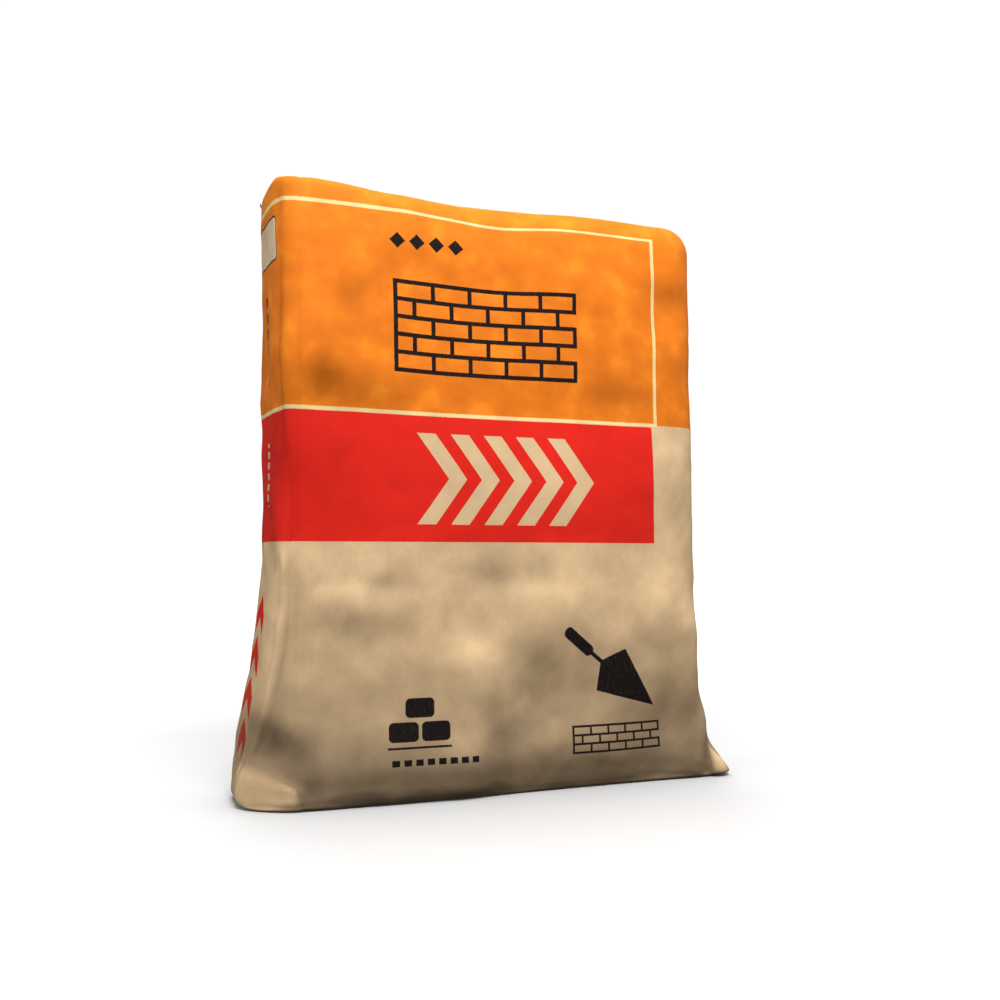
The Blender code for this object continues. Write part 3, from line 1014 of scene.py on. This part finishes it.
def make_valve():
    """The valve's paper sleeve: a flattened tube, of which only the mouth's back end looks out."""
    low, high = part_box("valve_sleeve")
    middle_y, middle_z = (low.y + high.y) / 2, (low.z + high.z) / 2
    bm = bmesh.new()
    loops = []
    for ring in range(SLEEVE_RINGS + 1):
        loop = []
        for turn in range(SLEEVE_TURNS):
            angle = 2 * pi * turn / SLEEVE_TURNS
            y = middle_y + (high.y - low.y) / 2 * cos(angle)
            back = float(ease(y, high.y - MOUTH_LIFT_FROM, high.y - MOUTH_LIFT_FULL))
            x = mix(low.x + mix(MOUTH_INSIDE, MOUTH_INSIDE_AT_BACK, back), high.x, ring / SLEEVE_RINGS)
            mouth = float(np.exp(-((x - low.x) / MOUTH_REACH) ** 2))
            wave = noise.noise(Vector((60 * x, 90 * y, 3.0)))
            z = middle_z + (SLEEVE_HALF_HEIGHT + MOUTH_OPENING * mouth) * sin(angle)
            z += (SLEEVE_WAVE + MOUTH_WAVE * mouth) * wave + MOUTH_LIFT * mouth * back
            loop.append(bm.verts.new((x, y, z)))
        loops.append(loop)
    for here, there in zip(loops, loops[1:]):
        for i in range(SLEEVE_TURNS):
            j = (i + 1) % SLEEVE_TURNS
            bm.faces.new((here[i], here[j], there[j], there[i]))
    bmesh.ops.recalc_face_normals(bm, faces=bm.faces)
    mesh = bpy.data.meshes.new("valve_tube")
    bm.to_mesh(mesh)
    bm.free()
    mesh.shade_smooth()
    sleeve = bpy.data.objects.new("valve_tube", mesh)
    bpy.context.scene.collection.objects.link(sleeve)
    wall = sleeve.modifiers.new("Paper", "SOLIDIFY")
    wall.thickness = SLEEVE_PAPER
    apply_modifiers(sleeve)
    return sleeve


def make_seam(sack):
    """The tube's lengthwise seam down the back. The outer ply's edge shows, and its other side runs out."""
    edge_x = BODY_X + SEAM_X
    low = Vector((edge_x, 0.0, SEAM_FROM_END))
    high = Vector((edge_x + SEAM_WIDTH, BODY_DEPTH, HEIGHT - SEAM_FROM_END))

    def lift(place):
        return mix(SEAM_EDGE_OUT, -SEAM_EDGE_IN, (place.x - edge_x) / SEAM_WIDTH)

    return sheet_over("back_seam", sack, low, high, Vector((0.0, 1.0, 0.0)), lift, SEAM_PAPER)


def make_top_patch(sack):
    """The cover strip that is pasted over the folded top."""
    low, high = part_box("top_patch")
    low.z = HEIGHT / 2
    high.z = 2 * HEIGHT

    def lift(place):
        return COVER_OUT

    return sheet_over("top_cover", sack, low, high, Vector((0.0, 0.0, 1.0)), lift, COVER_PAPER)


def dress():
    """Every piece of the bag, each riding on the one body."""
    printed = sack_material()
    sack, cement = make_sack()
    give(sack, printed)
    place_piece(sack, "kraft_paper", "paper_sack")
    give(cement, cement_material())
    place_piece(cement, "cement_powder", "cement_fill")

    sleeve = make_valve()
    give(sleeve, sleeve_material())
    place_piece(sleeve, "sleeve_paper", "valve_sleeve")

    seam = make_seam(sack)
    give(seam, printed)
    place_piece(seam, "kraft_paper")

    cover = make_top_patch(sack)
    give(cover, patch_material("top_cover_paper"))
    place_piece(cover, "top_patch_paper", "top_patch")
    give(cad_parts["bottom_patch"], patch_material("bottom_cover_paper"))


def add_floor():
    mesh = bpy.data.meshes.new("floor")
    bm = bmesh.new()
    bmesh.ops.create_grid(bm, x_segments=1, y_segments=1, size=FLOOR_HALF)
    bm.to_mesh(mesh)
    bm.free()
    floor = bpy.data.objects.new("floor", mesh)
    bpy.context.scene.collection.objects.link(floor)
    surface = Surface("pale_floor")
    grain = surface.noise(6, 2)
    split = surface.tree.nodes.new("ShaderNodeSeparateXYZ")
    surface.link(surface.position(), split.inputs[0])
    x, y = Field(surface.tree, split.outputs["X"]), Field(surface.tree, split.outputs["Y"])
    # The floor glows, dimly near the sack and white far off: painted light, with a painted contact shadow
    # where the sack hides its sky
    far = (x * x + y * y).op("SQRT").ramp(FLOOR_FADES_FROM, FLOOR_WHITE_FROM)
    contact = surface.tree.nodes.new("ShaderNodeAmbientOcclusion")
    contact.inputs["Distance"].default_value = CONTACT_REACH
    open_sky = (Field(surface.tree, contact.outputs["AO"]) * 1.5 - 0.5).most(0.0)
    shader = surface.shader.inputs
    shader["Emission Color"].default_value = (1.0, 1.0, 1.0, 1.0)
    surface.link((open_sky * (FLOOR_GLOW + (1 - FLOOR_GLOW) * far)).socket, shader["Emission Strength"])
    surface.material.cycles.emission_sampling = "NONE"
    colour = surface.blend(grain, (FLOOR_WHITE,) * 3, (1.03 * FLOOR_WHITE,) * 3)
    give(floor, surface.finish(colour, grain.ramp(0.0, 1.0, 0.90, 0.95), 0.1))
    floor.visible_diffuse = False
    floor.visible_glossy = False


def add_lamp(name, azimuth, elevation, distance, size, power):
    """A square area light that looks at the sack's middle. Azimuth 0 is in front, and 90 on the right."""
    data = bpy.data.lights.new(name, "AREA")
    data.shape = "SQUARE"
    data.size = size
    data.energy = power
    lamp = bpy.data.objects.new(name, data)
    a, e = radians(azimuth), radians(elevation)
    away = Vector((sin(a) * cos(e), -cos(a) * cos(e), sin(e)))
    lamp.location = Vector((0, 0, LAMP_TARGET_Z)) + distance * away
    lamp.rotation_euler = away.to_track_quat("Z", "Y").to_euler()
    bpy.context.scene.collection.objects.link(lamp)


def light_scene():
    world = bpy.data.worlds.new("studio")
    world.use_nodes = True
    tree = world.node_tree
    background = tree.nodes["Background"]
    split = tree.nodes.new("ShaderNodeSeparateXYZ")
    tree.links.new(tree.nodes.new("ShaderNodeTexCoord").outputs["Generated"], split.inputs[0])
    sky = Field(tree, split.outputs["Z"]).ramp(-0.05, 0.55, SKY_LOW, SKY_HIGH)
    seen = Field(tree, tree.nodes.new("ShaderNodeLightPath").outputs["Is Camera Ray"])
    tree.links.new(sky.most(seen * SKY_SEEN).socket, background.inputs["Strength"])
    background.inputs["Color"].default_value = (1.0, 1.0, 1.0, 1.0)
    scene = bpy.context.scene
    scene.world = world
    scene.view_settings.view_transform = "Standard"
    add_lamp("key", azimuth=-12, elevation=53, distance=1.25, size=0.6, power=20.5)
    add_lamp("left_fill", azimuth=-85, elevation=8, distance=1.4, size=0.9, power=5.0)
    add_lamp("right_fill", azimuth=64, elevation=14, distance=1.4, size=0.9, power=3.5)
    add_lamp("back", azimuth=172, elevation=42, distance=1.8, size=1.0, power=15.0)


def add_camera():
    data = bpy.data.cameras.new("photo_camera")
    data.sensor_width = SENSOR
    data.lens = SENSOR * FOCAL_PIXELS / PHOTO_PIXELS
    data.clip_end = 50
    camera = bpy.data.objects.new("photo_camera", data)
    camera.location = CAMERA_PLACE
    tilt = atan(HORIZON_BELOW_MIDDLE / FOCAL_PIXELS)
    camera.rotation_euler = (pi / 2 + tilt, 0.0, -CAMERA_YAW)
    bpy.context.scene.collection.objects.link(camera)
    bpy.context.scene.camera = camera


dress()
add_floor()
light_scene()
add_camera()
